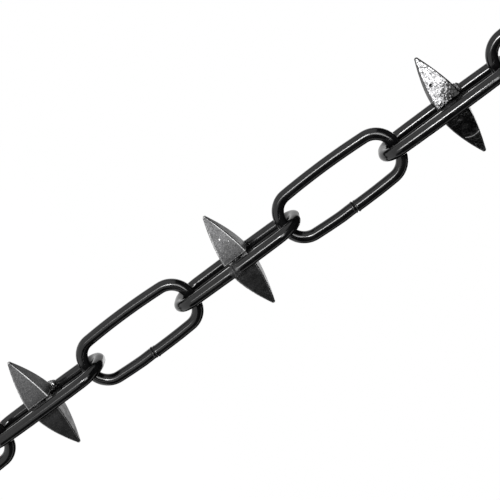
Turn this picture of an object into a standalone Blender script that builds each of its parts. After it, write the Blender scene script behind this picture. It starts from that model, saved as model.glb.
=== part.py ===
"""Decorative spike chain, hanging by its top link.

Long welded links of round steel wire. Every second link carries a pair of
four-sided spikes, one on each face, whose square stubs stand between the two
sides of the link. A lump of weld holds each spike to the rear side and a
short root run holds it to the front side.

Metres, +Z up. The origin is where a hook bears on the inside of the top
link's upper crown. Plain links lie in the XZ plane, spiked links in the YZ
plane, and their spikes point along -X and +X.
"""
import math

import bmesh
import bpy
from mathutils import Matrix, Vector

MM = 0.001

# Wire and links
WIRE_DIAMETER = 6.0 * MM
LINK_WIDTH = 30.0 * MM
PLAIN_LINK_LENGTH = 71.4 * MM
SPIKED_LINK_LENGTH = 76.4 * MM
CORNER_RADIUS = 10.2 * MM
SIDE_BOW = 0.7 * MM
LINK_COUNT = 7

# Butt weld in the middle of one side of each link
SEAM_SPREAD = 2.0 * MM
SEAM_RIDGE_OFFSET = 0.9 * MM
SEAM_RIDGE_RISE = 0.27 * MM
SEAM_NOTCH_DEPTH = 0.12 * MM

# Spikes
SPIKE_BASE = 13.2 * MM
SPIKE_HEIGHT = 26.7 * MM
SPIKE_SEAT_HEIGHT = 3.0 * MM
SPIKE_TAPER_POWER = 1.52
SPIKE_EDGE_RADIUS = 0.7 * MM
SPIKE_TIP_WIDTH = 2.0 * MM
STUB_WIDTH = 10.0 * MM

# Where each spike pair was welded, from the top spiked link down: its shift up
# the link, how far the front faces of its left and right spikes are turned
# upwards, how far their rear welds reach past them, and whether the link's
# butt weld was turned to the rear
SPIKE_SHIFTS = (2.4 * MM, 1.2 * MM, -0.8 * MM)
LEFT_SPIKE_TURNS = (math.radians(7.0), math.radians(4.0), math.radians(2.5))
RIGHT_SPIKE_TURNS = (math.radians(-3.0), math.radians(4.0), math.radians(2.5))
LUMP_OVERHANGS = (2.4 * MM, 0.3 * MM, 1.7 * MM)
SEAMS_AT_REAR = (True, False, True)

# Welds that hold the spikes
LUMP_LENGTH = 6.4 * MM
LUMP_WIDTH = 5.0 * MM
LUMP_HEIGHT = 5.2 * MM
ROOT_RUN_LENGTH = 9.0 * MM
ROOT_RUN_WIDTH = 4.4 * MM
ROOT_RUN_HEIGHT = 2.6 * MM
RIPPLE_DEPTH = 0.08
RIPPLE_COUNT = 3.0

# Clearance between neighbouring pieces
GAP = 0.3 * MM

# Mesh fineness
WIRE_SIDES = 12
CORNER_STEPS = 6
SIDE_STEPS = 6
SPIKE_CORNER_STEPS = 2
SPIKE_LEVELS = 8
WELD_SEGMENTS = 12
WELD_RINGS = 8

# Sizes that follow
WIRE_RADIUS = WIRE_DIAMETER / 2
HALF_WIDTH = LINK_WIDTH / 2 - WIRE_RADIUS


def clear_scene():
    """Remove whatever the file already holds."""
    for scene_object in list(bpy.data.objects):
        bpy.data.objects.remove(scene_object, do_unlink=True)


def make_material(name, colour, roughness, metallic):
    """A plain metal finish."""
    material = bpy.data.materials.new(name)
    material.use_nodes = True
    shader = material.node_tree.nodes["Principled BSDF"]
    shader.inputs["Base Color"].default_value = (*colour, 1.0)
    shader.inputs["Roughness"].default_value = roughness
    shader.inputs["Metallic"].default_value = metallic
    return material


def add_object(name, bm, material, parent):
    """Turn a bmesh into a named object under its parent."""
    bmesh.ops.recalc_face_normals(bm, faces=bm.faces)
    mesh = bpy.data.meshes.new(name)
    bm.to_mesh(mesh)
    bm.free()
    if material is not None:
        mesh.materials.append(material)
    mesh.shade_smooth()
    mesh.set_sharp_from_angle(angle=math.radians(35))
    new_object = bpy.data.objects.new(name, mesh)
    bpy.context.collection.objects.link(new_object)
    new_object.parent = parent
    return new_object


def add_empty(name, parent, location):
    """An empty on a joint's axis."""
    empty = bpy.data.objects.new(name, None)
    empty.empty_display_size = WIRE_DIAMETER
    bpy.context.collection.objects.link(empty)
    empty.parent = parent
    empty.location = location
    return empty


def bridge(bm, lower, upper):
    """Join two rings of vertices with a band of faces."""
    count = len(lower)
    for index in range(count):
        following = (index + 1) % count
        bm.faces.new((lower[index], lower[following], upper[following], upper[index]))


def corner_arc(centre_across, centre_along, start):
    """A quarter turn of the wire's centreline, counter-clockwise."""
    points = []
    for step in range(CORNER_STEPS + 1):
        angle = start + math.pi / 2 * step / CORNER_STEPS
        points.append((centre_across + CORNER_RADIUS * math.cos(angle),
                       centre_along + CORNER_RADIUS * math.sin(angle), 0.0))
    return points


def side_run(end, seam):
    """One long side of the centreline, from its upper end to its lower end.

    Each point is the distance across, the distance along and the rise of the
    wire's surface at the butt weld.
    """
    stations = {end * (1 - 2 * step / SIDE_STEPS): 0.0 for step in range(1, SIDE_STEPS)}
    if seam:
        stations[0.0] = -SEAM_NOTCH_DEPTH
        for sign in (-1, 1):
            stations[sign * SEAM_RIDGE_OFFSET] = SEAM_RIDGE_RISE
            stations[sign * SEAM_SPREAD] = 0.0
    return [(HALF_WIDTH + SIDE_BOW * (1 - (along / end) ** 2), along, rise)
            for along, rise in sorted(stations.items(), reverse=True)]


def link_path(length):
    """Closed centreline of a link, centred on its middle."""
    half_length = length / 2 - WIRE_RADIUS
    end = half_length - CORNER_RADIUS
    inner = HALF_WIDTH - CORNER_RADIUS
    seam_side = side_run(end, seam=True)
    plain_side = side_run(end, seam=False)
    path = [(across, -along, rise) for across, along, rise in seam_side]
    path += corner_arc(inner, end, 0.0)
    path += corner_arc(-inner, end, math.pi / 2)
    path += [(-across, along, rise) for across, along, rise in plain_side]
    path += corner_arc(-inner, -end, math.pi)
    path += corner_arc(inner, -end, math.pi * 3 / 2)
    return path


def link_mesh(length, growth=0.0):
    """The wire of one link, across X and along Z, with its weld on the +X side."""
    path = link_path(length)
    bm = bmesh.new()
    rings = []
    for index, (across, along, rise) in enumerate(path):
        centre = Vector((across, 0.0, along))
        before = path[index - 1]
        after = path[(index + 1) % len(path)]
        tangent = Vector((after[0] - before[0], 0.0, after[1] - before[1])).normalized()
        outward = Vector((tangent.z, 0.0, -tangent.x))
        radius = WIRE_RADIUS + rise + growth
        ring = []
        for side in range(WIRE_SIDES):
            angle = 2 * math.pi * side / WIRE_SIDES
            offset = outward * math.cos(angle) + Vector((0.0, 1.0, 0.0)) * math.sin(angle)
            ring.append(bm.verts.new(centre + offset * radius))
        rings.append(ring)
    for index, ring in enumerate(rings):
        bridge(bm, ring, rings[(index + 1) % len(rings)])
    return bm


def square_profile(half, corner):
    """A square with rounded corners, counter-clockwise."""
    corner = min(corner, half)
    points = []
    for quarter in range(4):
        middle = math.pi / 4 + quarter * math.pi / 2
        reach = (half - corner) * math.sqrt(2)
        for step in range(SPIKE_CORNER_STEPS + 1):
            angle = quarter * math.pi / 2 + math.pi / 2 * step / SPIKE_CORNER_STEPS
            points.append((reach * math.cos(middle) + corner * math.cos(angle),
                           reach * math.sin(middle) + corner * math.sin(angle)))
    return points


def spike_outline():
    """Half width of the spike at each height above the link's middle plane."""
    stub = STUB_WIDTH / 2
    base = SPIKE_BASE / 2
    tip = SPIKE_TIP_WIDTH / 2
    tip_share = (1 - tip / base) ** (1 / SPIKE_TAPER_POWER)
    outline = [(stub, GAP / 2), (stub, SPIKE_SEAT_HEIGHT)]
    for level in range(SPIKE_LEVELS + 1):
        share = tip_share * level / SPIKE_LEVELS
        half = base * (1 - share ** SPIKE_TAPER_POWER)
        outline.append((half, SPIKE_SEAT_HEIGHT + SPIKE_HEIGHT * share))
    rounding = tip * math.sqrt(0.5)
    outline.append((rounding, SPIKE_SEAT_HEIGHT + SPIKE_HEIGHT * tip_share + rounding))
    return outline


def spike_mesh(direction, growth=0.0):
    """One spike pointing along X, its stub between the link's sides."""
    bm = bmesh.new()
    rings = []
    for half, height in spike_outline():
        lift = growth if height > SPIKE_SEAT_HEIGHT else -growth
        edge = SPIKE_EDGE_RADIUS * half / (SPIKE_BASE / 2)
        rings.append([bm.verts.new((direction * (height + lift), across, along))
                      for across, along in square_profile(half + growth, edge + growth)])
    for lower, upper in zip(rings, rings[1:]):
        bridge(bm, lower, upper)
    bm.faces.new(reversed(rings[0]))
    bm.faces.new(rings[-1])
    return bm


def weld_mesh(height, width, length):
    """A rippled weld pool: a rounded lump with low waves along its run."""
    bm = bmesh.new()
    bmesh.ops.create_uvsphere(bm, u_segments=WELD_SEGMENTS, v_segments=WELD_RINGS, radius=0.5)
    for vertex in bm.verts:
        ripple = 1 + RIPPLE_DEPTH * math.cos(2 * math.pi * RIPPLE_COUNT * vertex.co.z)
        vertex.co = Vector((vertex.co.x * height * ripple,
                            vertex.co.y * width * ripple,
                            vertex.co.z * length))
    return bm


def add_cutter(name, bm, parent):
    """A guide that a weld is cut back with."""
    cutter = add_object(name, bm, None, parent)
    cutter.hide_render = True
    cutter.display_type = 'WIRE'
    return cutter


def cut_back(weld, cutters):
    """Keep the clearance between a weld and the pieces that it joins."""
    for cutter in cutters:
        modifier = weld.modifiers.new(cutter.name, 'BOOLEAN')
        modifier.operation = 'DIFFERENCE'
        modifier.solver = 'EXACT'
        modifier.object = cutter


def weld_lift(height):
    """Height of a weld's middle that keeps it clear of its twin below."""
    return GAP / 2 + height / 2 * (1 + RIPPLE_DEPTH)


def add_spikes(number, joint, centre, facing, place, finishes):
    """The pair of spikes on one link and the welds that hold them."""
    shift = SPIKE_SHIFTS[place]
    root_across = -(STUB_WIDTH / 2 + HALF_WIDTH - WIRE_RADIUS) / 2

    link_guide = add_cutter(f"link_guide_{number}", link_mesh(SPIKED_LINK_LENGTH, GAP), joint)
    link_guide.location = centre
    link_guide.rotation_euler = (0.0, 0.0, facing)
    for side, direction, turns in (("left", -1, LEFT_SPIKE_TURNS), ("right", 1, RIGHT_SPIKE_TURNS)):
        seat = add_empty(f"spike_seat_{number}_{side}", joint, centre + Vector((0.0, 0.0, shift)))
        seat.rotation_euler = (-turns[place], 0.0, 0.0)
        add_object(f"spike_{number}_{side}", spike_mesh(direction), finishes["spike"], seat)
        spike_guide = add_cutter(f"spike_guide_{number}_{side}", spike_mesh(direction, GAP), seat)

        rear_corner = Vector((0.0, SPIKE_BASE / 2, SPIKE_BASE / 2))
        rear_corner.rotate(Matrix.Rotation(-turns[place], 3, 'X'))
        lump_across = (rear_corner.y + HALF_WIDTH - WIRE_RADIUS / 2) / 2
        lump_along = shift + rear_corner.z + LUMP_OVERHANGS[place] - LUMP_LENGTH / 2
        lump = add_object(f"weld_{number}_{side}_rear",
                          weld_mesh(LUMP_HEIGHT, LUMP_WIDTH, LUMP_LENGTH), finishes["weld"], joint)
        lump.location = centre + Vector((direction * weld_lift(LUMP_HEIGHT), lump_across, lump_along))
        cut_back(lump, (link_guide, spike_guide))

        root = add_object(f"weld_{number}_{side}_front",
                          weld_mesh(ROOT_RUN_HEIGHT, ROOT_RUN_WIDTH, ROOT_RUN_LENGTH),
                          finishes["weld"], joint)
        root.location = centre + Vector((direction * weld_lift(ROOT_RUN_HEIGHT), root_across, shift))
        cut_back(root, (link_guide, spike_guide))


def build_chain():
    """Hang every link from the one above it."""
    finishes = {
        "wire": make_material("black_wire", (0.018, 0.018, 0.019), 0.22, 0.6),
        "spike": make_material("cast_spike", (0.09, 0.09, 0.092), 0.42, 0.8),
        "weld": make_material("weld_metal", (0.03, 0.03, 0.03), 0.5, 0.7),
    }
    joint = add_empty("hook_point", None, (0.0, 0.0, 0.0))
    top = WIRE_RADIUS
    spiked_above = 0
    for number in range(1, LINK_COUNT + 1):
        spiked = number % 2 == 0
        length = SPIKED_LINK_LENGTH if spiked else PLAIN_LINK_LENGTH
        half_length = length / 2 - WIRE_RADIUS
        centre = Vector((0.0, 0.0, top - half_length))
        link = add_object(f"link_{number}", link_mesh(length), finishes["wire"], joint)
        link.location = centre
        if spiked:
            facing = math.pi / 2 if SEAMS_AT_REAR[spiked_above] else -math.pi / 2
            link.rotation_euler = (0.0, 0.0, facing)
            add_spikes(number, joint, centre, facing, spiked_above, finishes)
            spiked_above += 1
        joint = add_empty(f"swing_{number + 1}", joint, (0.0, 0.0, top - 2 * half_length))
        top = WIRE_DIAMETER + GAP


clear_scene()
build_chain()
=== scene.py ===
"""Looks of a decorative spike chain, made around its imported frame.

The chain hangs along Z. Plain links lie across X and spiked links across Y.
The spikes on the left point along -X and those on the right along +X.
Every finished piece has its object at the origin and its place in its mesh.
"""
import math

import bmesh
import bpy
from mathutils import Matrix, Vector


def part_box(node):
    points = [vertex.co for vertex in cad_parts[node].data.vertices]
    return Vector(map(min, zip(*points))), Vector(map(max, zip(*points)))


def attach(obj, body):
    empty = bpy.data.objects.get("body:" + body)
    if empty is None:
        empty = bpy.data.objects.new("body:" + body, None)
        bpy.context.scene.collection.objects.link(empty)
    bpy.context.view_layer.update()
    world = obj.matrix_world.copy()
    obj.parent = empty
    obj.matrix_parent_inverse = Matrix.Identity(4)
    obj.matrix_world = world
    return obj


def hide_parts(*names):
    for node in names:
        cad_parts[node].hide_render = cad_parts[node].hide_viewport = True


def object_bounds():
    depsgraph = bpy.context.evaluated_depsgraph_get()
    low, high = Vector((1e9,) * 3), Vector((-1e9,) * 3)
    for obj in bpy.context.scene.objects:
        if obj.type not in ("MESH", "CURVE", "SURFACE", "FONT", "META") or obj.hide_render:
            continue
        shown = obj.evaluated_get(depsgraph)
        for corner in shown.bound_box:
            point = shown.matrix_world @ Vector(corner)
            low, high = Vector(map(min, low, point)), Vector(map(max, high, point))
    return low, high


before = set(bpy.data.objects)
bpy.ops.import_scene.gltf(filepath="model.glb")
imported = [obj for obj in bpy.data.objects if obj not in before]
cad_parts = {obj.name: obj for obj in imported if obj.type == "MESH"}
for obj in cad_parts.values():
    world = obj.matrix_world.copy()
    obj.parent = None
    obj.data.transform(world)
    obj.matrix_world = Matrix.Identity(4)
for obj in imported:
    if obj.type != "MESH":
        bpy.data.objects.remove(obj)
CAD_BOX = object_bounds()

bl_info = {
    "name": "Decorative spike chain",
    "version": (1, 0, 0),
    "blender": (4, 5, 0),
    "location": "3D View > Sidebar > Chain",
    "description": "Models and finishes a welded chain with cast spikes",
    "category": "Object",
}

MM = 0.001

# Links from the top down, and the spiked ones among them
LINKS = range(1, 8)
SPIKED_LINKS = (2, 4, 6)
SIDES = (("left", -1), ("right", 1))

# How many degrees the front faces of the left and right spikes are turned
# upwards
SPIKE_TURNS = {
    "left": dict(zip(SPIKED_LINKS, (7.0, 4.0, 2.5))),
    "right": dict(zip(SPIKED_LINKS, (-3.0, 4.0, 2.5))),
}

# Finish of each spike pair: its hammering, the brightness of its metal (painted light and shade, set
# pair by pair), how much of its glancing reflection is left, its roughness, its pits and its rubbed
# edges (wear and painted highlight)
SPIKE_FINISH = {
    2: {"hammering": 1.0, "painted_brightness": 0.93, "glance": 0.3, "rough": 0.2, "pits": 0.85, "rubbed_highlit": 0.0},
    4: {"hammering": 0.3, "painted_brightness": 0.37, "glance": 1.0, "rough": 0.42, "pits": 0.3, "rubbed_highlit": 0.9},
    6: {"hammering": 0.08, "painted_brightness": 0.375, "glance": 1.0, "rough": 0.44, "pits": 0.1, "rubbed_highlit": 1.0},
}

# Painted shade on the left spikes near their bases: where each dark spot is, and the
# distances from it at which the shade is full and has gone
PAINTED_SHADE_SPOTS = {
    2: {"Across": -3.0 * MM, "Depth": -7.0 * MM, "Along": -80.9 * MM,
        "Near": 0.5 * MM, "Far": 16.0 * MM},
    6: {"Across": -4.0 * MM, "Depth": 2.0 * MM, "Along": -331.9 * MM,
        "Near": 3.0 * MM, "Far": 10.0 * MM},
}

# Dull scale round the butt weld that was turned to the front
SCALE_SPOT = {"Across": 0.0, "Depth": -12.7 * MM, "Along": -214.5 * MM}

# Spiked links whose butt weld was turned to the front, and how ragged each
# link's weld flash is
FRONT_SEAMS = (4,)
SEAM_FLASH = {number: (1.35 if number in FRONT_SEAMS else 0.15) * MM for number in LINKS}

# Single dents in the spikes, in millimetres: where each is, its radius, its
# depth and its rim; one with a depth below zero is a bump
SPIKE_DENTS = {
    "spike_2_left": (((-13.9, -5.1, -90.4), 0.9, 0.55, 0.08),
                     ((-4.3, -6.9, -91.7), 0.8, 0.3, 0.16)),
    "spike_4_left": (((-14.7, -4.7, -213.4), 0.6, -0.14, -0.03),
                     ((-11.7, -5.2, -210.2), 0.5, -0.04, -0.01)),
    "spike_6_left": (((-6.7, -6.3, -340.2), 0.6, 0.08, 0.01),),
}

# Form of a dent, in its radii: the width of its hollow, where its rim is and how
# wide, and how far it reaches
DENT_HOLLOW = 0.6
DENT_RIM = 1.05
DENT_RIM_WIDTH = 0.3
DENT_REACH = 2.0

# Scratched arcs on the right spikes: each one's centre and radius, the width of
# its line, and the distance from the link where it starts
ARC_MARKS = {2: {"Across": 10.8 * MM, "Along": -87.8 * MM, "Radius": 6.4 * MM,
                 "Width": 0.3 * MM, "Start": 15.5 * MM}}

# Brightness and roughness of the welds behind the left spikes, the brightness painted light and shade
# set weld by weld, and of all others, kept dark as painted shade in their crevices
LUMP_FINISH = {2: (0.65, 0.5), 4: (0.16, 0.3), 6: (0.8, 0.22)}
PAINTED_SHADE_WELD_FINISH = (0.08, 0.4)

# How much rougher the enamel, the castings and the welds are in their blotches
ENAMEL_SPREAD = 0.08
CAST_SPREAD = 0.12
WELD_SPREAD = 0.18

# Roughness of the scale on the wire and of the scratched arcs
SCALE_ROUGH = 0.42
ARC_ROUGH = 0.55

# How much of the welds' height is left on each spiked link
WELD_SHARE = {2: 1.0, 4: 0.8, 6: 1.0}

# Weld pools: their length over their pitch, how much smaller the end ones are,
# and how many degrees they lean
POOL_LENGTH = 1.6
POOL_FALL = 0.25
POOL_LEAN = (-18, 12)

# Mesh fineness
WIRE_SIDES = 48
STATION_PITCH = 0.9 * MM
SEAM_PITCH = 0.15 * MM
CORNER_STEPS = 22
CROWN_STEPS = 4
SPIKE_LEVELS = 26
SPIKE_CUTS = 11
SPIKE_CORNER_SEGMENTS = 3
BASE_STEPS = 3
TIP_STEPS = 4
BEAD_VOXEL = 0.14 * MM
MERGE_DISTANCE = 0.005 * MM

# Butt weld: half the length that it changes, how far in from the link's outside
# its flash is full, and the share of the flash on the outside
SEAM_REACH = 2.4 * MM
SEAM_SHOULDER = 2.6 * MM
SEAM_OUTSIDE = 0.2

# Butt weld: the widths of its ridges and groove over the ridges' offset, where
# the step of the lower wire end has gone, and how much of the step is sideways
RIDGE_WIDTH = 0.55
GROOVE_WIDTH = 0.35
STEP_FADE = 9.0 * MM
STEP_SIDEWAYS = 0.4

# Spike edges: the most of the half width that their rounding takes, and the
# share of the half width within which nothing is rounded
ROUNDING_LIMIT = 0.8
CORE_SHARE = 0.6

# Rise of the middle of a spike's blunt tip over the tip's width
TIP_RISE = 0.02

# Hammering: its least weight, the weight's slope and start as a face turns to the
# front or rear, and the size of its dents and marks and their share of its depth
HAMMER_LEAST = 0.15
HAMMER_SLOPE = 2.5
HAMMER_START = 1.2
HAMMER_RIPPLES = {"dents": (3.4 * MM, 0.9), "hammer_marks": (1.2 * MM, 0.7)}

# Key light: how many strips it is built of, the height of each, and the height
# of the topmost one's middle
KEY_STRIPS = 4
KEY_PITCH = 0.22
KEY_TOP = -0.13

# Wide boxes: their bearing, height and size
TOP_BOX = (math.radians(9), 0.22, (0.7, 0.36))
RIM_BOX = (math.radians(-160), 0.0, (0.5, 0.5))

# Black cards: the two bearings in degrees and the two heights that each spans
FLAGS = {
    "flag_front": (-72, 12, -0.65, 1.5),
    "flag_low": (-72, -18, -1.61, -0.65),
    "flag_right": (-140, -88, -1.61, 1.5),
    "flag_behind": (114, 128, -1.61, 1.5),
    "flag_high": (128, 220, 0.6, 1.5),
}
CEILING_HEIGHT = 1.5
CEILING_SIZE = 3.6

# Distances of the lamps and the black cards from the chain
LAMP_DISTANCE = 1.2
FLAG_DISTANCE = 1.5

# Backdrop: its colour, the level of its fill light, and the floor's size, glow
# and grey
WHITE = (1.0, 1.0, 1.0, 1.0)
FILL_LEVEL = 0.15
FLOOR_SIZE = 8.0
FLOOR_GLOW = 0.9
FLOOR_GREY = 0.6

# Camera: the width of its sensor in millimetres and of its picture in pixels
SENSOR_WIDTH = 36.0
FRAME_PIXELS = 500.0


# Selecting and moving

def deselect():
    """Leave nothing selected in object mode."""
    bpy.ops.object.select_all(action='DESELECT')


def add_object(operator, **settings):
    """The object that an adding operator makes, with nothing else selected."""
    deselect()
    operator(**settings)
    return bpy.context.active_object


def choose(piece):
    """Make one piece the only selected and the active one."""
    deselect()
    piece.select_set(True)
    bpy.context.view_layer.objects.active = piece


def edit(piece):
    """Open a piece in edit mode with all of it selected."""
    choose(piece)
    bpy.ops.object.mode_set(mode='EDIT')
    bpy.ops.mesh.select_mode(type='VERT')
    bpy.ops.mesh.select_all(action='SELECT')


def close_edit():
    """Go back to object mode."""
    bpy.ops.object.mode_set(mode='OBJECT')


def select_vertices(test):
    """In edit mode, select just the vertices whose place passes a test."""
    mesh = bpy.context.edit_object.data
    bm = bmesh.from_edit_mesh(mesh)
    for vertex in bm.verts:
        vertex.select = test(vertex.co)
    bm.select_flush_mode()
    bmesh.update_edit_mesh(mesh)


def apply_place(piece):
    """Put a piece's place, turn and scale into its mesh."""
    choose(piece)
    bpy.ops.object.transform_apply(location=True, rotation=True, scale=True)


def duplicate(piece, name):
    """A copy of a piece with a mesh of its own."""
    choose(piece)
    bpy.ops.object.duplicate(linked=False)
    copy = bpy.context.active_object
    copy.name = name
    copy.data.name = name
    return copy


def discard(piece):
    """Remove a pattern piece once its copies are made."""
    bpy.data.objects.remove(piece, do_unlink=True)


def add_modifier(piece, name, kind, **settings):
    """Give a piece a modifier and apply it."""
    modifier = piece.modifiers.new(name, kind)
    for setting, value in settings.items():
        setattr(modifier, setting, value)
    choose(piece)
    bpy.ops.object.modifier_apply(modifier=name)


def ripple(piece, name, size, depth, group="", level=0.5):
    """Raise and sink a surface by soft noise of one size."""
    texture = bpy.data.textures.new(name, 'CLOUDS')
    texture.noise_scale = size
    texture.noise_depth = 2
    add_modifier(piece, name, 'DISPLACE', texture=texture, texture_coords='GLOBAL',
                 strength=depth, mid_level=level, vertex_group=group)
    bpy.data.textures.remove(texture)


def subdivide_flat(piece, levels):
    """Split every face evenly without rounding the shape."""
    add_modifier(piece, "finer", 'SUBSURF', subdivision_type='SIMPLE', levels=levels,
                 render_levels=levels)


def mend(piece):
    """Merge doubles and turn the faces outwards."""
    edit(piece)
    bpy.ops.mesh.remove_doubles(threshold=MERGE_DISTANCE)
    bpy.ops.mesh.normals_make_consistent(inside=False)
    close_edit()


def shade(piece, degrees):
    """Shade smooth up to an angle."""
    choose(piece)
    bpy.ops.object.shade_smooth_by_angle(angle=math.radians(degrees))


def dress(piece, material, node, body):
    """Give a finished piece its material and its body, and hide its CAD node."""
    piece.data.materials.clear()
    piece.data.materials.append(material)
    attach(piece, body)
    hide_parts(node)


# Shader helpers

def fill_inputs(tree, node, values):
    """Set a node's inputs, or join them to the output sockets that are given."""
    for name, value in values.items():
        if isinstance(value, bpy.types.NodeSocket):
            tree.links.new(value, node.inputs[name])
        else:
            node.inputs[name].default_value = value


def add_node(tree, kind, values=None, **settings):
    """A shader node with its settings and inputs filled in."""
    node = tree.nodes.new(kind)
    for name, value in settings.items():
        setattr(node, name, value)
    fill_inputs(tree, node, values or {})
    return node


def connect(tree, *joins):
    """Join nodes, each join given as a node, its output, a node and its input."""
    for source, output, target, entry in joins:
        tree.links.new(source.outputs[output], target.inputs[entry])


def new_group(name, inputs, outputs):
    """A node group with named sockets, and its two end nodes."""
    group = bpy.data.node_groups.new(name, 'ShaderNodeTree')
    for label, default in inputs.items():
        socket = group.interface.new_socket(name=label, in_out='INPUT', socket_type='NodeSocketFloat')
        socket.default_value = default
    group.interface.new_socket(name="Vector", in_out='INPUT', socket_type='NodeSocketVector')
    for label in outputs:
        group.interface.new_socket(name=label, in_out='OUTPUT', socket_type='NodeSocketFloat')
    return group, group.nodes.new('NodeGroupInput'), group.nodes.new('NodeGroupOutput')


def use_group(tree, group, values, vector):
    """The outputs of a node group placed in a material with its own values."""
    return add_node(tree, 'ShaderNodeGroup', {**values, "Vector": vector}, node_tree=group).outputs


def mottle_group():
    """Soft blotches with a contrast of their own, for colour and roughness."""
    group = bpy.data.node_groups.get("metal_mottle")
    if group:
        return group
    group, start, end = new_group("metal_mottle", {"Scale": 300.0, "Low": 0.35, "High": 0.65}, ["Mask"])
    noise = add_node(group, 'ShaderNodeTexNoise', {"Detail": 5.0, "Roughness": 0.6})
    ramp = add_node(group, 'ShaderNodeMapRange')
    connect(group,
            (start, "Vector", noise, "Vector"), (start, "Scale", noise, "Scale"),
            (noise, "Fac", ramp, "Value"),
            (start, "Low", ramp, "From Min"), (start, "High", ramp, "From Max"),
            (ramp, "Result", end, "Mask"))
    return group


def pit_group():
    """Scattered round pits: a height for bump and a mask of the pits."""
    group = bpy.data.node_groups.get("cast_pits")
    if group:
        return group
    group, start, end = new_group("cast_pits", {"Scale": 900.0, "Width": 0.3}, ["Height", "Mask"])
    cells = add_node(group, 'ShaderNodeTexVoronoi', {"Randomness": 1.0})
    ramp = add_node(group, 'ShaderNodeMapRange', {"From Min": 0.0}, interpolation_type='SMOOTHSTEP')
    inverse = add_node(group, 'ShaderNodeMath', {0: 1.0}, operation='SUBTRACT')
    connect(group,
            (start, "Vector", cells, "Vector"), (start, "Scale", cells, "Scale"),
            (cells, "Distance", ramp, "Value"), (start, "Width", ramp, "From Max"),
            (ramp, "Result", end, "Height"),
            (ramp, "Result", inverse, 1), (inverse, "Value", end, "Mask"))
    return group


def convex_edge_group():
    """A mask along convex edges, broken up by noise: rubbed metal with a painted highlight on the
    spikes, a painted highlight on the weld crests.
    """
    group = bpy.data.node_groups.get("convex_edges")
    if group:
        return group
    group, start, end = new_group("convex_edges", {"Start": 0.52, "Full": 0.6, "Scale": 700.0}, ["Mask"])
    form = add_node(group, 'ShaderNodeNewGeometry')
    ramp = add_node(group, 'ShaderNodeMapRange')
    noise = add_node(group, 'ShaderNodeTexNoise', {"Detail": 4.0, "Roughness": 0.65})
    breaks = add_node(group, 'ShaderNodeMapRange', {"From Min": 0.25, "From Max": 0.5})
    product = add_node(group, 'ShaderNodeMath', operation='MULTIPLY')
    connect(group,
            (form, "Pointiness", ramp, "Value"),
            (start, "Start", ramp, "From Min"), (start, "Full", ramp, "From Max"),
            (start, "Vector", noise, "Vector"), (start, "Scale", noise, "Scale"),
            (noise, "Fac", breaks, "Value"),
            (ramp, "Result", product, 0), (breaks, "Result", product, 1),
            (product, "Value", end, "Mask"))
    return group


def speck_group():
    """Specks round a spot, fewer from a near distance to a far one: scale on the wire, painted shade on
    the spikes.
    """
    group = bpy.data.node_groups.get("dark_specks")
    if group:
        return group
    group, start, end = new_group("dark_specks", {"Across": 0.0, "Depth": 0.0, "Along": 0.0, "Near": 0.003,
                                           "Far": 0.01, "Scale": 1100.0}, ["Mask"])
    spot = add_node(group, 'ShaderNodeCombineXYZ')
    distance = add_node(group, 'ShaderNodeVectorMath', operation='DISTANCE')
    ramp = add_node(group, 'ShaderNodeMapRange', {"To Min": 0.4, "To Max": -0.25})
    noise = add_node(group, 'ShaderNodeTexNoise', {"Detail": 5.0, "Roughness": 0.6})
    total = add_node(group, 'ShaderNodeMath', operation='ADD')
    mask = add_node(group, 'ShaderNodeMapRange', {"From Min": 0.5, "From Max": 0.6})
    connect(group,
            (start, "Across", spot, "X"), (start, "Depth", spot, "Y"), (start, "Along", spot, "Z"),
            (start, "Vector", distance, 0), (spot, "Vector", distance, 1),
            (distance, "Value", ramp, "Value"),
            (start, "Near", ramp, "From Min"), (start, "Far", ramp, "From Max"),
            (start, "Vector", noise, "Vector"), (start, "Scale", noise, "Scale"),
            (ramp, "Result", total, 0), (noise, "Fac", total, 1),
            (total, "Value", mask, "Value"), (mask, "Result", end, "Mask"))
    return group


def arc_mark_group():
    """A thin arc in the plane across and along the link, open towards the link."""
    group = bpy.data.node_groups.get("arc_mark")
    if group:
        return group
    group, start, end = new_group("arc_mark", {"Across": 0.0, "Along": 0.0, "Radius": 0.005,
                                               "Width": 0.0003, "Start": 0.0}, ["Mask"])
    apart = add_node(group, 'ShaderNodeSeparateXYZ')
    flat = add_node(group, 'ShaderNodeCombineXYZ', {"Y": 0.0})
    centre = add_node(group, 'ShaderNodeCombineXYZ', {"Y": 0.0})
    distance = add_node(group, 'ShaderNodeVectorMath', operation='DISTANCE')
    beyond = add_node(group, 'ShaderNodeMath', operation='SUBTRACT')
    off_ring = add_node(group, 'ShaderNodeMath', operation='ABSOLUTE')
    line = add_node(group, 'ShaderNodeMapRange', {"From Min": 0.0, "To Min": 1.0, "To Max": 0.0})
    outer = add_node(group, 'ShaderNodeMath', operation='GREATER_THAN')
    product = add_node(group, 'ShaderNodeMath', operation='MULTIPLY')
    connect(group,
            (start, "Vector", apart, "Vector"), (apart, "X", flat, "X"), (apart, "Z", flat, "Z"),
            (start, "Across", centre, "X"), (start, "Along", centre, "Z"),
            (flat, "Vector", distance, 0), (centre, "Vector", distance, 1),
            (distance, "Value", beyond, 0), (start, "Radius", beyond, 1),
            (beyond, "Value", off_ring, 0), (off_ring, "Value", line, "Value"),
            (start, "Width", line, "From Max"),
            (apart, "X", outer, 0), (start, "Start", outer, 1),
            (line, "Result", product, 0), (outer, "Value", product, 1),
            (product, "Value", end, "Mask"))
    return group


def new_material(name, metallic, specular):
    """A material with its shader and the object's own coordinates."""
    material = bpy.data.materials.new(name)
    material.use_nodes = True
    tree = material.node_tree
    shader = tree.nodes["Principled BSDF"]
    shader.inputs["Metallic"].default_value = metallic
    shader.inputs["Specular IOR Level"].default_value = specular
    place = add_node(tree, 'ShaderNodeTexCoord').outputs["Object"]
    return material, tree, shader, place


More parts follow.
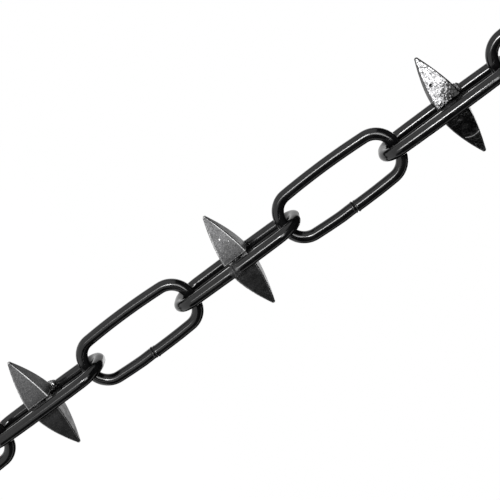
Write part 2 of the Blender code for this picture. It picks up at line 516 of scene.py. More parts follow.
def scaled(colour, share):
    """A share of a colour's brightness."""
    return [value * share for value in colour]


def blend_colours(tree, mask, low, high):
    """Mix two colours by a mask."""
    mix = add_node(tree, 'ShaderNodeMix', {0: mask, 6: (*low, 1.0), 7: (*high, 1.0)},
                   data_type='RGBA')
    return mix.outputs[2]


def blend_over(tree, mask, below, colour):
    """Lay a colour over another where a mask says so."""
    mix = add_node(tree, 'ShaderNodeMix', {0: mask, 6: below, 7: (*colour, 1.0)}, data_type='RGBA')
    return mix.outputs[2]


def blend_values(tree, mask, low, high):
    """Run a value from low to high by a mask."""
    ramp = add_node(tree, 'ShaderNodeMapRange', {"Value": mask, "To Min": low, "To Max": high})
    return ramp.outputs["Result"]


def weaken(tree, mask, share):
    """A share of a mask."""
    product = add_node(tree, 'ShaderNodeMath', {0: mask, 1: share}, operation='MULTIPLY')
    return product.outputs["Value"]


def raise_value(tree, mask, below, high):
    """Bring a value up to another where a mask says so."""
    mix = add_node(tree, 'ShaderNodeMix', {0: mask, 2: below, 3: high}, data_type='FLOAT')
    return mix.outputs[0]


def bump(tree, height, distance, strength, below=None):
    """A bump from a height, laid over another if one is given."""
    values = {"Height": height, "Strength": strength, "Distance": distance}
    if below is not None:
        values["Normal"] = below
    return add_node(tree, 'ShaderNodeBump', values).outputs["Normal"]


def plug_shader(tree, shader, base, rough, normal):
    """Give a shader its colour, its roughness and its bumps."""
    fill_inputs(tree, shader, {"Base Color": base, "Roughness": rough, "Normal": normal})


def enamel_material(wire):
    """Glossy black enamel with a faint waviness, on the wire."""
    material = bpy.data.materials.get("black_enamel")
    if material:
        return material
    material, tree, shader, place = new_material("black_enamel", metallic=0.0, specular=0.44)
    blotch = use_group(tree, mottle_group(), {"Scale": 190.0, "Low": 0.35, "High": 0.7}, place)
    base = blend_colours(tree, blotch["Mask"], wire.enamel, wire.enamel_dull)
    rough = blend_values(tree, blotch["Mask"], wire.gloss, wire.gloss + ENAMEL_SPREAD)
    scale = use_group(tree, speck_group(), {**SCALE_SPOT, "Near": 2.6 * MM, "Far": 5.2 * MM}, place)
    crumbs = use_group(tree, speck_group(), {**SCALE_SPOT, "Near": 0.0, "Far": 5.0 * MM,
                                            "Scale": 600.0}, place)
    base = blend_over(tree, scale["Mask"], base, wire.scale_dark)
    base = blend_over(tree, crumbs["Mask"], base, wire.scale)
    rough = raise_value(tree, scale["Mask"], rough, SCALE_ROUGH)
    waves = bump(tree, blotch["Mask"], distance=0.02 * MM, strength=0.2)
    plug_shader(tree, shader, base, rough,
                bump(tree, crumbs["Mask"], distance=0.12 * MM, strength=0.7, below=waves))
    return material


def cast_material(spike, number):
    """Dark cast metal of one spike pair: pitted, its brightness set pair by pair as painted light and
    shade, its edges rubbed bright with a painted highlight, and painted shade near some bases.
    """
    material = bpy.data.materials.get(f"cast_metal_{number}")
    if material:
        return material
    finish = SPIKE_FINISH[number]
    material, tree, shader, place = new_material(f"cast_metal_{number}", metallic=1.0, specular=0.5)
    shader.inputs["Specular Tint"].default_value = (finish["glance"],) * 3 + (1.0,)
    blotch = use_group(tree, mottle_group(), {"Scale": 260.0, "Low": 0.35, "High": 0.65}, place)
    speckle = use_group(tree, mottle_group(), {"Scale": 1700.0, "Low": 0.38, "High": 0.62}, place)
    pits = use_group(tree, pit_group(), {"Scale": 1100.0, "Width": 0.34}, place)
    edge_wear_and_highlight = use_group(tree, convex_edge_group(), {"Start": 0.503, "Full": 0.528, "Scale": 900.0}, place)
    # The metal's brightness is painted light and shade, set pair by pair
    base = blend_colours(tree, speckle["Mask"], scaled(spike.metal_dark, finish["painted_brightness"]),
                         scaled(spike.metal, finish["painted_brightness"]))
    # Painted shade near the spike's base, round a given spot
    if number in PAINTED_SHADE_SPOTS:
        dark_specks = use_group(tree, speck_group(), PAINTED_SHADE_SPOTS[number], place)
        base = blend_over(tree, dark_specks["Mask"], base, spike.dark_specks)
    base = blend_over(tree, weaken(tree, pits["Mask"], finish["pits"]), base, spike.dark_specks)
    # Rubbed edges, made brighter still as a painted highlight
    base = blend_over(tree, weaken(tree, edge_wear_and_highlight["Mask"], finish["rubbed_highlit"]), base,
                      spike.metal_rubbed_highlit)
    rough = blend_values(tree, blotch["Mask"], finish["rough"], finish["rough"] + CAST_SPREAD)
    if number in ARC_MARKS:
        arc = use_group(tree, arc_mark_group(), ARC_MARKS[number], place)
        base = blend_over(tree, arc["Mask"], base, spike.metal_rubbed_highlit)
        rough = raise_value(tree, arc["Mask"], rough, ARC_ROUGH)
    skin = bump(tree, speckle["Mask"], distance=0.02 * MM, strength=0.4)
    plug_shader(tree, shader, base, rough,
                bump(tree, pits["Height"], distance=0.03 * MM,
                     strength=0.4 + 0.4 * finish["pits"], below=skin))
    return material


def weld_material(weld, name, finish):
    """Weld metal of one brightness and roughness, dark in its ripples, its brightness painted light and
    shade set weld by weld, with a painted highlight on its crests.
    """
    material = bpy.data.materials.get(name)
    if material:
        return material
    painted_brightness, rough = finish
    material, tree, shader, place = new_material(name, metallic=1.0, specular=0.5)
    grain = use_group(tree, mottle_group(), {"Scale": 1400.0, "Low": 0.35, "High": 0.65}, place)
    edge_wear_and_highlight = use_group(tree, convex_edge_group(), {"Start": 0.5, "Full": 0.6, "Scale": 1100.0}, place)
    base = blend_colours(tree, grain["Mask"], weld.metal_dark, scaled(weld.metal, painted_brightness))
    # Painted highlight on the weld's crests
    base = blend_over(tree, edge_wear_and_highlight["Mask"], base, scaled(weld.metal_crest_highlight, painted_brightness))
    plug_shader(tree, shader, base,
                blend_values(tree, grain["Mask"], rough, rough + WELD_SPREAD),
                bump(tree, grain["Mask"], distance=0.06 * MM, strength=0.5))
    return material


# Settings

def length_setting(name, description, default, precision=4):
    """A setting for a length."""
    return bpy.props.FloatProperty(name=name, description=description, default=default,
                                   unit='LENGTH', precision=precision)


def number_setting(name, description, default, **limits):
    """A setting for a plain number."""
    return bpy.props.FloatProperty(name=name, description=description, default=default, **limits)


def colour_setting(name, description, default):
    """A setting for a colour."""
    return bpy.props.FloatVectorProperty(name=name, description=description, default=default,
                                         subtype='COLOR', min=0.0, max=1.0)


def angle_setting(name, description, degrees):
    """A setting for an angle."""
    return bpy.props.FloatProperty(name=name, description=description,
                                   default=math.radians(degrees), subtype='ANGLE', unit='ROTATION')


class ChainWireSettings(bpy.types.PropertyGroup):
    """Sizes and finish of the wire links"""

    diameter: length_setting("Wire diameter", "Thickness of the round wire", 6.0 * MM)
    link_width: length_setting("Link width", "Width of a link over its wire at its ends", 30.0 * MM)
    corner_radius: length_setting(
        "Corner radius", "Bend of the wire's centreline at the crowns", 10.2 * MM)
    side_bow: length_setting("Side bow", "How far a side bulges at its middle", 0.7 * MM, precision=5)
    skin: length_setting(
        "Skin allowance", "How far the wavy surface stays inside the nominal wire",
        0.03 * MM, precision=6)
    wave: length_setting(
        "Surface wave", "Depth of the slow waves in the wire's surface", 0.05 * MM, precision=6)
    seam_rise: length_setting(
        "Seam ridge", "Rise of the two ridges beside the butt weld", 0.22 * MM, precision=6)
    seam_offset: length_setting(
        "Seam ridge offset", "Distance of each ridge from the butt weld", 0.75 * MM, precision=6)
    seam_notch: length_setting(
        "Seam notch", "Depth of the groove at the butt weld", 0.35 * MM, precision=6)
    seam_step: length_setting(
        "Seam step", "How far the two wire ends miss each other", 0.25 * MM, precision=6)
    gloss: number_setting(
        "Enamel roughness", "Roughness of the glossiest enamel", 0.13, min=0.0, max=1.0)
    enamel: colour_setting("Enamel", "Colour of the black enamel", (0.002, 0.002, 0.0022))
    enamel_dull: colour_setting(
        "Dull enamel", "Colour of the enamel in its duller blotches", (0.005, 0.005, 0.0053))
    scale: colour_setting(
        "Scale", "Colour of the scale beside the front butt weld", (0.065, 0.065, 0.0665))
    scale_dark: colour_setting(
        "Dark scale", "Colour of the scale between its crumbs", (0.012, 0.012, 0.0124))


class ChainSpikeSettings(bpy.types.PropertyGroup):
    """Sizes and finish of the spikes"""

    base: length_setting("Base width", "Width of the square base", 13.2 * MM)
    seat_height: length_setting(
        "Seat height", "Height of the base above the link's middle plane", 3.0 * MM)
    stub: length_setting("Stub width", "Width of the stub between the link's sides", 10.0 * MM)
    stub_gap: length_setting(
        "Stub gap", "Gap between the stubs of the two spikes", 0.3 * MM, precision=5)
    taper_power: number_setting(
        "Taper", "How strongly the faces bow from base to tip", 1.52, min=1.0, max=3.0)
    edge_radius: length_setting(
        "Edge radius", "Rounding of the four edges at the base", 0.7 * MM, precision=5)
    tip_width: length_setting("Tip width", "Width of the blunt tip", 2.0 * MM, precision=5)
    base_round: length_setting(
        "Base rounding", "Rounding of the edge around the base", 0.35 * MM, precision=5)
    hammer_depth: length_setting(
        "Hammering", "Depth of the roughest faces' dents", 0.34 * MM, precision=5)
    metal: colour_setting("Metal", "Colour of the cast metal", (0.2, 0.2, 0.202))
    metal_dark: colour_setting("Dark metal", "Colour of the metal in its speckles", (0.098, 0.098, 0.1))
    # Rubbed edges and scratches; on the edges this is also a painted highlight
    metal_rubbed_highlit: colour_setting("Rubbed metal", "Colour of the metal on rubbed edges", (0.9, 0.9, 0.9))
    # Dark colour of the painted shade near the spike bases and of the insides of the pits
    dark_specks: colour_setting(
        "Soot", "Colour of the soot and of the insides of the pits", (0.012, 0.012, 0.012))


class ChainWeldSettings(bpy.types.PropertyGroup):
    """Sizes and finish of the welds that hold the spikes"""

    lump_width: length_setting("Lump width", "Width of the rear weld's pools", 5.0 * MM)
    lump_height: length_setting("Lump height", "Height of the rear weld's pools", 5.4 * MM)
    lump_length: length_setting("Lump length", "Length of the rear weld", 6.6 * MM)
    root_width: length_setting("Root run width", "Width of the front weld's pools", 4.4 * MM)
    root_height: length_setting("Root run height", "Height of the front weld's pools", 2.6 * MM)
    root_length: length_setting("Root run length", "Length of the front weld", 9.0 * MM)
    pool_pitch: length_setting(
        "Pool pitch", "Distance from one weld pool to the next", 1.0 * MM, precision=5)
    metal: colour_setting("Weld metal", "Colour of the weld metal", (0.55, 0.55, 0.552))
    metal_dark: colour_setting(
        "Dark weld metal", "Colour of the weld metal in its ripples", (0.04, 0.04, 0.041))
    # Painted highlight on the weld crests
    metal_crest_highlight: colour_setting(
        "Bright weld metal", "Colour of the weld metal on its crests", (0.7, 0.7, 0.7))


class ChainStageSettings(bpy.types.PropertyGroup):
    """Floor, lights and camera"""

    floor_drop: length_setting(
        "Floor drop", "Distance of the floor below the chain", 1200.0 * MM, precision=3)
    key_radiance: number_setting("Key strength", "Brightness of the topmost key strip", 70.0, min=0.0)
    key_fade: number_setting(
        "Key fade", "Brightness of each key strip over that of the strip above", 0.4, min=0.0, max=1.0)
    key_bearing: angle_setting(
        "Key bearing", "Turn of the key strips from the front to the left", degrees=24.0)
    key_width: length_setting("Key width", "Width of the key strips", 160.0 * MM)
    top_radiance: number_setting(
        "Top box strength", "Brightness of the wide box above the key", 9.0, min=0.0)
    rim_radiance: number_setting("Rim box strength", "Brightness of the box behind", 2.0, min=0.0)
    focal_pixels: number_setting(
        "Focal length in pixels", "Focal length for a frame 500 pixels wide", 1363.85, min=1.0)
    distance: length_setting(
        "Camera distance", "Distance of the camera from the point it aims at", 655.55 * MM, precision=3)
    towards_top: angle_setting(
        "Camera rise", "Angle of the camera towards the chain's top", degrees=13.657)
    towards_left: angle_setting(
        "Camera swing", "Angle of the camera towards the left spikes", degrees=13.377)
    roll: angle_setting("Camera roll", "Turn of the chain in the picture", degrees=39.446)
    aim_along: length_setting(
        "Aim along", "Aim point above the middle of the fourth link", 8.406 * MM, precision=5)
    aim_across: length_setting(
        "Aim across", "Aim point across the fourth link, to the left", 0.68 * MM, precision=5)


# Wire links

def spin_ring(centre_x, centre_z, angle, steps):
    """Carry the open end of the wire round a centre."""
    bpy.ops.mesh.spin(steps=steps, angle=angle, center=(centre_x, 0.0, centre_z),
                      axis=(0.0, 1.0, 0.0))


def draw_crown(run):
    """Carry the open end of the wire straight across a crown."""
    for _ in range(CROWN_STEPS):
        bpy.ops.mesh.extrude_region_move(
            TRANSFORM_OT_translate={"value": (run / CROWN_STEPS, 0.0, 0.0)})


def swell_seam(wire, bow_x, bow_radius):
    """Raise the ridges and sink the groove of the butt weld, ring by ring."""
    count = round(SEAM_REACH / SEAM_PITCH)
    half_step = SEAM_PITCH / bow_radius / 2
    for index in range(-count + 1, count):
        along = index * SEAM_PITCH
        angle = along / bow_radius
        ridge = math.exp(-((abs(along) - wire.seam_offset) / (RIDGE_WIDTH * wire.seam_offset)) ** 2)
        groove = math.exp(-(along / (GROOVE_WIDTH * wire.seam_offset)) ** 2)
        rise = wire.seam_rise * ridge - wire.seam_notch * groove
        factor = 1 + rise / (wire.diameter / 2)
        select_vertices(lambda place: place.x > 0
                        and abs(math.atan2(place.z, place.x - bow_x) - angle) < half_step)
        bpy.ops.transform.resize(
            value=(factor, factor, factor),
            center_override=(bow_x + bow_radius * math.cos(angle), 0.0,
                             bow_radius * math.sin(angle)))


def step_seam(piece, wire):
    """Let the lower wire end miss the upper one a little, inwards and sideways."""
    for vertex in piece.data.vertices:
        place = vertex.co
        if place.x > 0 and -STEP_FADE < place.z < 0.1 * SEAM_PITCH:
            share = 1 - (place.z / STEP_FADE) ** 2
            vertex.co.x -= wire.seam_step * share ** 2
            vertex.co.y += STEP_SIDEWAYS * wire.seam_step * share ** 2


def model_link(wire, length):
    """One link across X and along Z, its butt weld in the middle of the +X side."""
    radius = wire.diameter / 2 - wire.skin
    half_width = (wire.link_width - wire.diameter) / 2
    half_length = (length - wire.diameter) / 2
    corner = wire.corner_radius
    tilt = 2 * math.atan(wire.side_bow / (half_length - corner))
    end = half_length - corner * (1 - math.sin(tilt))
    bow_radius = end / math.sin(tilt)
    bow_x = half_width - bow_radius * math.cos(tilt)
    corner_x = half_width - corner * math.cos(tilt)
    corner_z = end - corner * math.sin(tilt)
    seam_angle = SEAM_REACH / bow_radius
    seam_steps = round(SEAM_REACH / SEAM_PITCH)
    rest_steps = round((end - SEAM_REACH) / STATION_PITCH)
    turn = math.pi / 2 - tilt

    piece = add_object(bpy.ops.mesh.primitive_circle_add, vertices=WIRE_SIDES, radius=radius,
                       location=(bow_x + bow_radius, 0.0, 0.0))
    apply_place(piece)
    edit(piece)
    spin_ring(bow_x, 0.0, seam_angle, seam_steps)
    spin_ring(bow_x, 0.0, tilt - seam_angle, rest_steps)
    spin_ring(corner_x, corner_z, turn, CORNER_STEPS)
    draw_crown(-2 * corner_x)
    spin_ring(-corner_x, corner_z, turn, CORNER_STEPS)
    spin_ring(-bow_x, 0.0, 2 * tilt, 2 * rest_steps)
    spin_ring(-corner_x, -corner_z, turn, CORNER_STEPS)
    draw_crown(2 * corner_x)
    spin_ring(corner_x, -corner_z, turn, CORNER_STEPS)
    spin_ring(bow_x, 0.0, tilt - seam_angle, rest_steps)
    spin_ring(bow_x, 0.0, seam_angle, seam_steps)
    bpy.ops.mesh.select_all(action='SELECT')
    bpy.ops.mesh.remove_doubles(threshold=MERGE_DISTANCE)
    swell_seam(wire, bow_x, bow_radius)
    close_edit()
    step_seam(piece, wire)
    mend(piece)
    return piece


def mark_seam(piece):
    """Weight the vertices round the butt weld, least on the link's outside."""
    group = piece.vertex_groups.new(name="seam")
    outermost = max(vertex.co.x for vertex in piece.data.vertices)
    for vertex in piece.data.vertices:
        distance = abs(vertex.co.z) / SEAM_REACH
        if vertex.co.x > 0 and distance < 1:
            depth = min(1.0, (outermost - vertex.co.x) / SEAM_SHOULDER)
            weight = (1 - distance) * (SEAM_OUTSIDE + (1 - SEAM_OUTSIDE) * depth)
            group.add([vertex.index], weight, 'REPLACE')


def link_facing(number):
    """Turn about Z that brings a link's butt weld from +X to its side."""
    if number not in SPIKED_LINKS:
        return 0.0
    return -math.pi / 2 if number in FRONT_SEAMS else math.pi / 2


def make_links(wire, numbers):
    """Copy one link to the place of each of these links and finish it."""
    low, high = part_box(f"link_{numbers[0]}")
    pattern = model_link(wire, high.z - low.z)
    mark_seam(pattern)
    for number in numbers:
        low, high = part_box(f"link_{number}")
        piece = duplicate(pattern, f"wire_{number}")
        piece.location = (0.0, 0.0, (low.z + high.z) / 2)
        piece.rotation_euler = (0.0, 0.0, link_facing(number))
        apply_place(piece)
        ripple(piece, "seam_flash", size=1.0 * MM, depth=SEAM_FLASH[number], group="seam", level=0.4)
        ripple(piece, "slow_waves", size=6.5 * MM, depth=wire.wave)
        ripple(piece, "short_waves", size=2.1 * MM, depth=0.25 * wire.wave)
        piece.vertex_groups.clear()
        shade(piece, degrees=60)
        dress(piece, enamel_material(wire), f"link_{number}", f"link_{number}")
    discard(pattern)


class CHAIN_OT_plain_links(bpy.types.Operator):
    """Model a plain link and hang a copy at each plain link's place"""

    bl_idname = "chain.plain_links"
    bl_label = "Plain links"

    def execute(self, context):
        make_links(context.scene.chain_wire,
                   [number for number in LINKS if number not in SPIKED_LINKS])
        return {'FINISHED'}


class CHAIN_OT_spiked_links(bpy.types.Operator):
    """Model a spiked link's wire and hang a copy at each spiked link's place"""

    bl_idname = "chain.spiked_links"
    bl_label = "Spiked links"

    def execute(self, context):
        make_links(context.scene.chain_wire, SPIKED_LINKS)
        return {'FINISHED'}


# Spikes

def spike_outline(spike, top):
    """Half width at each height above the link's middle plane."""
    stub, base, tip = spike.stub / 2, spike.base / 2, spike.tip_width / 2
    seat, rounding = spike.seat_height, spike.base_round
    tip_share = (1 - tip / base) ** (1 / spike.taper_power)
    height = (top - seat - tip) / tip_share
    outline = [(stub, spike.stub_gap / 2), (stub, seat), (base - rounding, seat)]
    for step in range(1, BASE_STEPS):
        angle = math.pi / 2 * step / BASE_STEPS
        outline.append((base - rounding * (1 - math.sin(angle)),
                        seat + rounding * (1 - math.cos(angle))))
    start = rounding / height
    for level in range(SPIKE_LEVELS + 1):
        share = start + (tip_share - start) * level / SPIKE_LEVELS
        outline.append((base * (1 - share ** spike.taper_power), seat + height * share))
    for step in range(1, TIP_STEPS):
        angle = math.pi / 2 * step / TIP_STEPS
        outline.append((tip * math.cos(angle), seat + height * tip_share + tip * math.sin(angle)))
    return outline


def width_at(outline, height):
    """Half width of an outline at a height."""
    for (lower, start), (upper, end) in zip(outline, outline[1:]):
        if start <= height <= end and end > start:
            return lower + (upper - lower) * (height - start) / (end - start)
    return outline[-1][0]


def round_edges(piece, outline, radius):
    """Give the four long edges one rounding from base to tip."""
    for vertex in piece.data.vertices:
        across, along = abs(vertex.co.x), abs(vertex.co.y)
        far, near = max(across, along), min(across, along)
        half = width_at(outline, vertex.co.z)
        corner = min(radius, ROUNDING_LIMIT * half)
        middle = half - corner
        if far < CORE_SHARE * half or near / far * half <= middle:
            continue
        square = far * far + near * near
        reach = middle * (far + near)
        spread = reach * reach - square * (2 * middle * middle - corner * corner)
        share = (reach + math.sqrt(max(spread, 0.0))) / square
        vertex.co.x *= share
        vertex.co.y *= share


def model_spike(spike, top):
    """One spike along +Z with its stub, from a square drawn up level by level."""
    outline = spike_outline(spike, top)
    half, height = outline[0]
    piece = add_object(bpy.ops.mesh.primitive_plane_add, size=2 * half,
                       location=(0.0, 0.0, height))
    apply_place(piece)
    edit(piece)
    edge = spike.edge_radius * half / (spike.base / 2)
    bpy.ops.mesh.bevel(offset=edge, segments=SPIKE_CORNER_SEGMENTS, affect='VERTICES')
    bpy.ops.mesh.select_mode(type='EDGE')
    bpy.ops.mesh.select_all(action='DESELECT')
    bm = bmesh.from_edit_mesh(piece.data)
    for bm_edge in bm.edges:
        bm_edge.select = bm_edge.calc_length() > half
    bmesh.update_edit_mesh(piece.data)
    bpy.ops.mesh.subdivide(number_cuts=SPIKE_CUTS)
    bpy.ops.mesh.select_mode(type='FACE')
    bpy.ops.mesh.select_all(action='SELECT')
    for next_half, next_height in outline[1:]:
        bpy.ops.mesh.extrude_region_move(
            TRANSFORM_OT_translate={"value": (0.0, 0.0, next_height - height)})
        factor = next_half / half
        bpy.ops.transform.resize(value=(factor, factor, 1.0),
                                 center_override=(0.0, 0.0, next_height))
        half, height = next_half, next_height
    bpy.ops.mesh.poke(offset=spike.tip_width * TIP_RISE)
    close_edit()
    mend(piece)
    subdivide_flat(piece, levels=2)
    round_edges(piece, outline[2:], spike.edge_radius)
    return piece


def mark_hammered(piece):
    """Weight the vertices of the front and rear faces, which were hammered."""
    group = piece.vertex_groups.new(name="hammered")
    for vertex in piece.data.vertices:
        share = HAMMER_SLOPE * abs(vertex.normal.y) - HAMMER_START
        group.add([vertex.index], min(1.0, max(HAMMER_LEAST, share)), 'REPLACE')


def press_dent(piece, place, radius, depth, rim):
    """Press a round dent into a surface, with a raised rim."""
    for vertex in piece.data.vertices:
        distance = (vertex.co - place).length / radius
        if distance < DENT_REACH:
            hollow = math.exp(-(distance / DENT_HOLLOW) ** 2)
            ring = math.exp(-((distance - DENT_RIM) / DENT_RIM_WIDTH) ** 2)
            vertex.co += vertex.normal * (rim * ring - depth * hollow)


def set_spike(pattern, spike, number, side, direction):
    """Copy the spike to one side of a spiked link and finish it."""
    node = f"spike_{number}_{side}"
    low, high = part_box(node)
    piece = duplicate(pattern, f"cast_{node}")
    piece.rotation_euler = (0.0, direction * math.pi / 2, 0.0)
    apply_place(piece)
    piece.rotation_euler = (-math.radians(SPIKE_TURNS[side][number]), 0.0, 0.0)
    piece.location = (0.0, 0.0, (low.z + high.z) / 2)
    apply_place(piece)
    mark_hammered(piece)
    hammering = SPIKE_FINISH[number]["hammering"]
    for name, (size, share) in HAMMER_RIPPLES.items():
        ripple(piece, name, size, share * spike.hammer_depth * hammering, group="hammered")
    ripple(piece, "cast_skin", size=0.5 * MM, depth=0.02 * MM)
    piece.vertex_groups.clear()
    for place, radius, depth, rim in SPIKE_DENTS.get(node, ()):
        press_dent(piece, Vector(place) * MM, radius * MM, depth * MM, rim * MM)
    shade(piece, degrees=50)
    dress(piece, cast_material(spike, number), node, f"link_{number}")


class CHAIN_OT_spikes(bpy.types.Operator):
    """Model a spike and set a pair of copies on each spiked link"""

    bl_idname = "chain.spikes"
    bl_label = "Spikes"

    def execute(self, context):
        spike = context.scene.chain_spike
        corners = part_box(f"spike_{SPIKED_LINKS[0]}_right")
        pattern = model_spike(spike, corners[1].x)
        for number in SPIKED_LINKS:
            for side, direction in SIDES:
                set_spike(pattern, spike, number, side, direction)
        discard(pattern)
        return {'FINISHED'}


# Welds

def model_bead(width, height, length, pitch):
    """A run of weld pools along Z that overlap like scales."""
    pools = []
    pool = POOL_LENGTH * pitch
    count = round((length - pool) / pitch) + 1
    lean, roll = POOL_LEAN
    for index in range(count):
        along = (index - (count - 1) / 2) * pitch
        swell = 1 - POOL_FALL * (2 * index / (count - 1) - 1) ** 2
        pools.append(add_object(
            bpy.ops.mesh.primitive_uv_sphere_add, segments=32, ring_count=16, radius=0.5,
            location=(0.0, 0.0, along), rotation=(math.radians(lean), math.radians(roll), 0.0),
            scale=(height * swell, width * swell, pool)))
    deselect()
    for part in pools:
        part.select_set(True)
    piece = pools[0]
    bpy.context.view_layer.objects.active = piece
    bpy.ops.object.join()
    apply_place(piece)
    add_modifier(piece, "melt", 'REMESH', mode='VOXEL', voxel_size=BEAD_VOXEL)
    add_modifier(piece, "relax", 'SMOOTH', factor=0.5, iterations=2)
    return piece


def make_beads(weld, ending, size):
    """Copy one bead to each spike's weld on one side of the links."""
    pattern = model_bead(*size, weld.pool_pitch)
    for number in SPIKED_LINKS:
        share = WELD_SHARE[number]
        for side, direction in SIDES:
            node = f"weld_{number}_{side}_{ending}"
            low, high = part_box(node)
            piece = duplicate(pattern, f"bead_{number}_{side}_{ending}")
            piece.rotation_euler = (0.0, 0.0, 0.0 if direction > 0 else math.pi)
            piece.scale.x = share
            piece.location = (low + high) / 2
            piece.location.x -= direction * (1 - share) * (high.x - low.x) / 2
            apply_place(piece)
            ripple(piece, "spatter", size=0.8 * MM, depth=0.4 * MM)
            shade(piece, degrees=60)
            # Left rear welds get their own brightness, painted light and shade weld by weld; all other
            # welds are kept dark as painted shade in their crevices
            if ending == "rear" and side == "left":
                material = weld_material(weld, f"weld_metal_{number}", LUMP_FINISH[number])
            else:
                material = weld_material(weld, "weld_metal_painted_shade", PAINTED_SHADE_WELD_FINISH)
            dress(piece, material, node, f"link_{number}")
    discard(pattern)


class CHAIN_OT_rear_welds(bpy.types.Operator):
    """Model a weld lump and set one behind each spike"""

    bl_idname = "chain.rear_welds"
    bl_label = "Rear welds"

    def execute(self, context):
        weld = context.scene.chain_weld
        make_beads(weld, "rear", (weld.lump_width, weld.lump_height, weld.lump_length))
        return {'FINISHED'}


class CHAIN_OT_front_welds(bpy.types.Operator):
    """Model a root run and set one in front of each spike"""

    bl_idname = "chain.front_welds"
    bl_label = "Front welds"

    def execute(self, context):
        weld = context.scene.chain_weld
        make_beads(weld, "front", (weld.root_width, weld.root_height, weld.root_length))
        return {'FINISHED'}


# Stage

def seen_directly(tree):
    """One for what the camera sees, also in a reflection or through glass."""
    rays = add_node(tree, 'ShaderNodeLightPath')
    seen = add_node(tree, 'ShaderNodeMath', operation='MAXIMUM')
    seen_through = add_node(tree, 'ShaderNodeMath', operation='MAXIMUM')
    connect(tree,
            (rays, "Is Camera Ray", seen, 0), (rays, "Is Glossy Ray", seen, 1),
            (seen, "Value", seen_through, 0), (rays, "Is Transmission Ray", seen_through, 1))
    return seen_through.outputs["Value"]


def backdrop_world():
    """A white backdrop that the metal reflects, and a plain fill light."""
    world = bpy.context.scene.world or bpy.data.worlds.new("studio")
    bpy.context.scene.world = world
    world.use_nodes = True
    tree = world.node_tree
    tree.nodes.clear()
    level = blend_values(tree, seen_directly(tree), FILL_LEVEL, 1.0)
    sky = add_node(tree, 'ShaderNodeBackground', {"Color": WHITE, "Strength": level})
    add_node(tree, 'ShaderNodeOutputWorld', {"Surface": sky.outputs["Background"]})


def floor_material():
    """A white floor that keeps a soft shadow."""
    material = bpy.data.materials.new("floor_white")
    material.use_nodes = True
    tree = material.node_tree
    tree.nodes.clear()
    level = weaken(tree, seen_directly(tree), FLOOR_GLOW)
    glow = add_node(tree, 'ShaderNodeEmission', {"Color": WHITE, "Strength": level})
    matt = add_node(tree, 'ShaderNodeBsdfDiffuse', {"Color": (FLOOR_GREY,) * 3 + (1.0,)})
    both = add_node(tree, 'ShaderNodeAddShader', {0: glow.outputs["Emission"], 1: matt.outputs["BSDF"]})
    add_node(tree, 'ShaderNodeOutputMaterial', {"Surface": both.outputs["Shader"]})
    return material


def flag_material():
    """Black cloth of the cards that keep the wire's reflections dark."""
    material = bpy.data.materials.get("flag_black")
    if material:
        return material
    material = bpy.data.materials.new("flag_black")
    material.use_nodes = True
    shader = material.node_tree.nodes["Principled BSDF"]
    shader.inputs["Base Color"].default_value = (0.0, 0.0, 0.0, 1.0)
    shader.inputs["Specular IOR Level"].default_value = 0.0
    return material


def round_the_chain(bearing, distance, height):
    """A point at a bearing from the front, towards the left spikes."""
    return Vector((-distance * math.sin(bearing), -distance * math.cos(bearing), height))


def hang_strip(name, bearing, height, size, radiance):
    """An upright rectangular lamp that faces the chain."""
    lamp = add_object(bpy.ops.object.light_add, type='AREA',
                      location=round_the_chain(bearing, LAMP_DISTANCE, height))
    lamp.name = name
    lamp.data.shape = 'RECTANGLE'
    lamp.data.size, lamp.data.size_y = size
    lamp.data.energy = radiance * math.pi * size[0] * size[1]
    lamp.rotation_euler = (math.pi / 2, 0.0, -bearing)
    lamp.visible_camera = False


def add_card(name, place, turn, size):
    """A black card that only reflections see."""
    card = add_object(bpy.ops.mesh.primitive_plane_add, size=1.0, location=place, rotation=turn)
    card.name = name
    card.scale = (*size, 1.0)
    card.data.materials.append(flag_material())
    card.visible_camera = False
    card.visible_diffuse = False
    card.visible_shadow = False


def add_flag(name, start, end, bottom, top):
    """An upright black card between two bearings."""
    bearing = math.radians((start + end) / 2)
    width = 2 * FLAG_DISTANCE * math.tan(math.radians(end - start) / 2)
    add_card(name, round_the_chain(bearing, FLAG_DISTANCE, (bottom + top) / 2),
             (math.pi / 2, 0.0, -bearing), (width, top - bottom))


def lay_floor(drop):
    """A wide floor below the chain."""
    floor = add_object(bpy.ops.mesh.primitive_plane_add, size=FLOOR_SIZE,
                       location=(0.0, 0.0, CAD_BOX[0].z - drop))
    floor.name = "floor"
    floor.data.materials.append(floor_material())


def aim_camera(stage):
    """A camera risen, swung and rolled about the fourth link."""
    rise, swing, roll = stage.towards_top, stage.towards_left, stage.roll
    back = Vector((-math.sin(swing), -math.cos(rise) * math.cos(swing),
                   math.sin(rise) * math.cos(swing)))
    right = Vector((-1.0, 0.0, 0.0)).cross(back).normalized()
    up = back.cross(right)
    across = right * math.cos(roll) - up * math.sin(roll)
    upward = right * math.sin(roll) + up * math.cos(roll)
    low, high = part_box("link_4")
    aim = Vector((-stage.aim_across, 0.0, (low.z + high.z) / 2 + stage.aim_along))
    camera = add_object(bpy.ops.object.camera_add)
    camera.name = "camera"
    turn = Matrix((across, upward, back)).transposed()
    camera.matrix_world = Matrix.Translation(aim + back * stage.distance) @ turn.to_4x4()
    camera.data.sensor_width = SENSOR_WIDTH
    camera.data.lens = SENSOR_WIDTH * stage.focal_pixels / FRAME_PIXELS
    camera.data.clip_start = 10.0 * MM
    bpy.context.scene.camera = camera


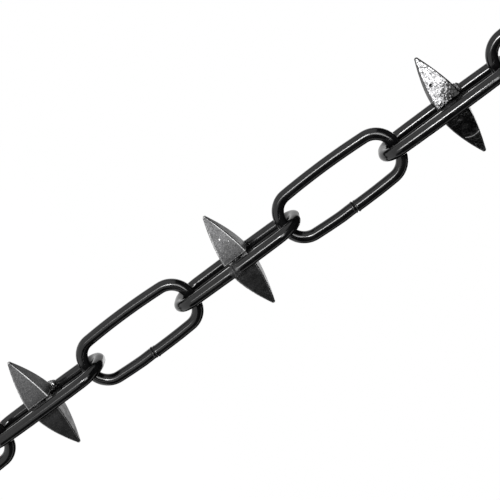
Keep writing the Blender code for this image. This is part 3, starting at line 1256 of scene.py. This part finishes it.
class CHAIN_OT_stage(bpy.types.Operator):
    """Set up the floor, the backdrop, the lights and the camera"""

    bl_idname = "chain.stage"
    bl_label = "Stage"

    def execute(self, context):
        stage = context.scene.chain_stage
        context.scene.view_settings.view_transform = 'Standard'
        backdrop_world()
        lay_floor(stage.floor_drop)
        for step in range(KEY_STRIPS):
            hang_strip(f"key_strip_{step + 1}", stage.key_bearing, KEY_TOP - KEY_PITCH * step,
                       (stage.key_width, KEY_PITCH), stage.key_radiance * stage.key_fade ** step)
        hang_strip("top_box", *TOP_BOX, stage.top_radiance)
        hang_strip("rim_box", *RIM_BOX, stage.rim_radiance)
        for name, span in FLAGS.items():
            add_flag(name, *span)
        add_card("flag_ceiling", (0.0, 0.0, CEILING_HEIGHT), (0.0, 0.0, 0.0),
                 (CEILING_SIZE, CEILING_SIZE))
        aim_camera(stage)
        return {'FINISHED'}


class CHAIN_PT_panel(bpy.types.Panel):
    """The chain's pieces, one button each, and their settings"""

    bl_idname = "CHAIN_PT_panel"
    bl_label = "Spike chain"
    bl_space_type = 'VIEW_3D'
    bl_region_type = 'UI'
    bl_category = "Chain"

    def draw(self, context):
        for operator in OPERATORS:
            self.layout.operator(operator.bl_idname)
        for name in SETTINGS:
            box = self.layout.box()
            settings = getattr(context.scene, name)
            for field in settings.__annotations__:
                box.prop(settings, field)


OPERATORS = (CHAIN_OT_plain_links, CHAIN_OT_spiked_links, CHAIN_OT_spikes,
             CHAIN_OT_rear_welds, CHAIN_OT_front_welds, CHAIN_OT_stage)
SETTINGS = {
    "chain_wire": ChainWireSettings,
    "chain_spike": ChainSpikeSettings,
    "chain_weld": ChainWeldSettings,
    "chain_stage": ChainStageSettings,
}


def register():
    """Register the settings, the operators and the panel."""
    for name, group in SETTINGS.items():
        bpy.utils.register_class(group)
        setattr(bpy.types.Scene, name, bpy.props.PointerProperty(type=group))
    for operator in OPERATORS:
        bpy.utils.register_class(operator)
    bpy.utils.register_class(CHAIN_PT_panel)


def unregister():
    """Undo register, in reverse."""
    bpy.utils.unregister_class(CHAIN_PT_panel)
    for operator in reversed(OPERATORS):
        bpy.utils.unregister_class(operator)
    for name, group in reversed(list(SETTINGS.items())):
        delattr(bpy.types.Scene, name)
        bpy.utils.unregister_class(group)


def main():
    """Make the whole chain."""
    register()
    bpy.ops.chain.plain_links()
    bpy.ops.chain.spiked_links()
    bpy.ops.chain.spikes()
    bpy.ops.chain.rear_welds()
    bpy.ops.chain.front_welds()
    bpy.ops.chain.stage()


if __name__ == "__main__":
    main()
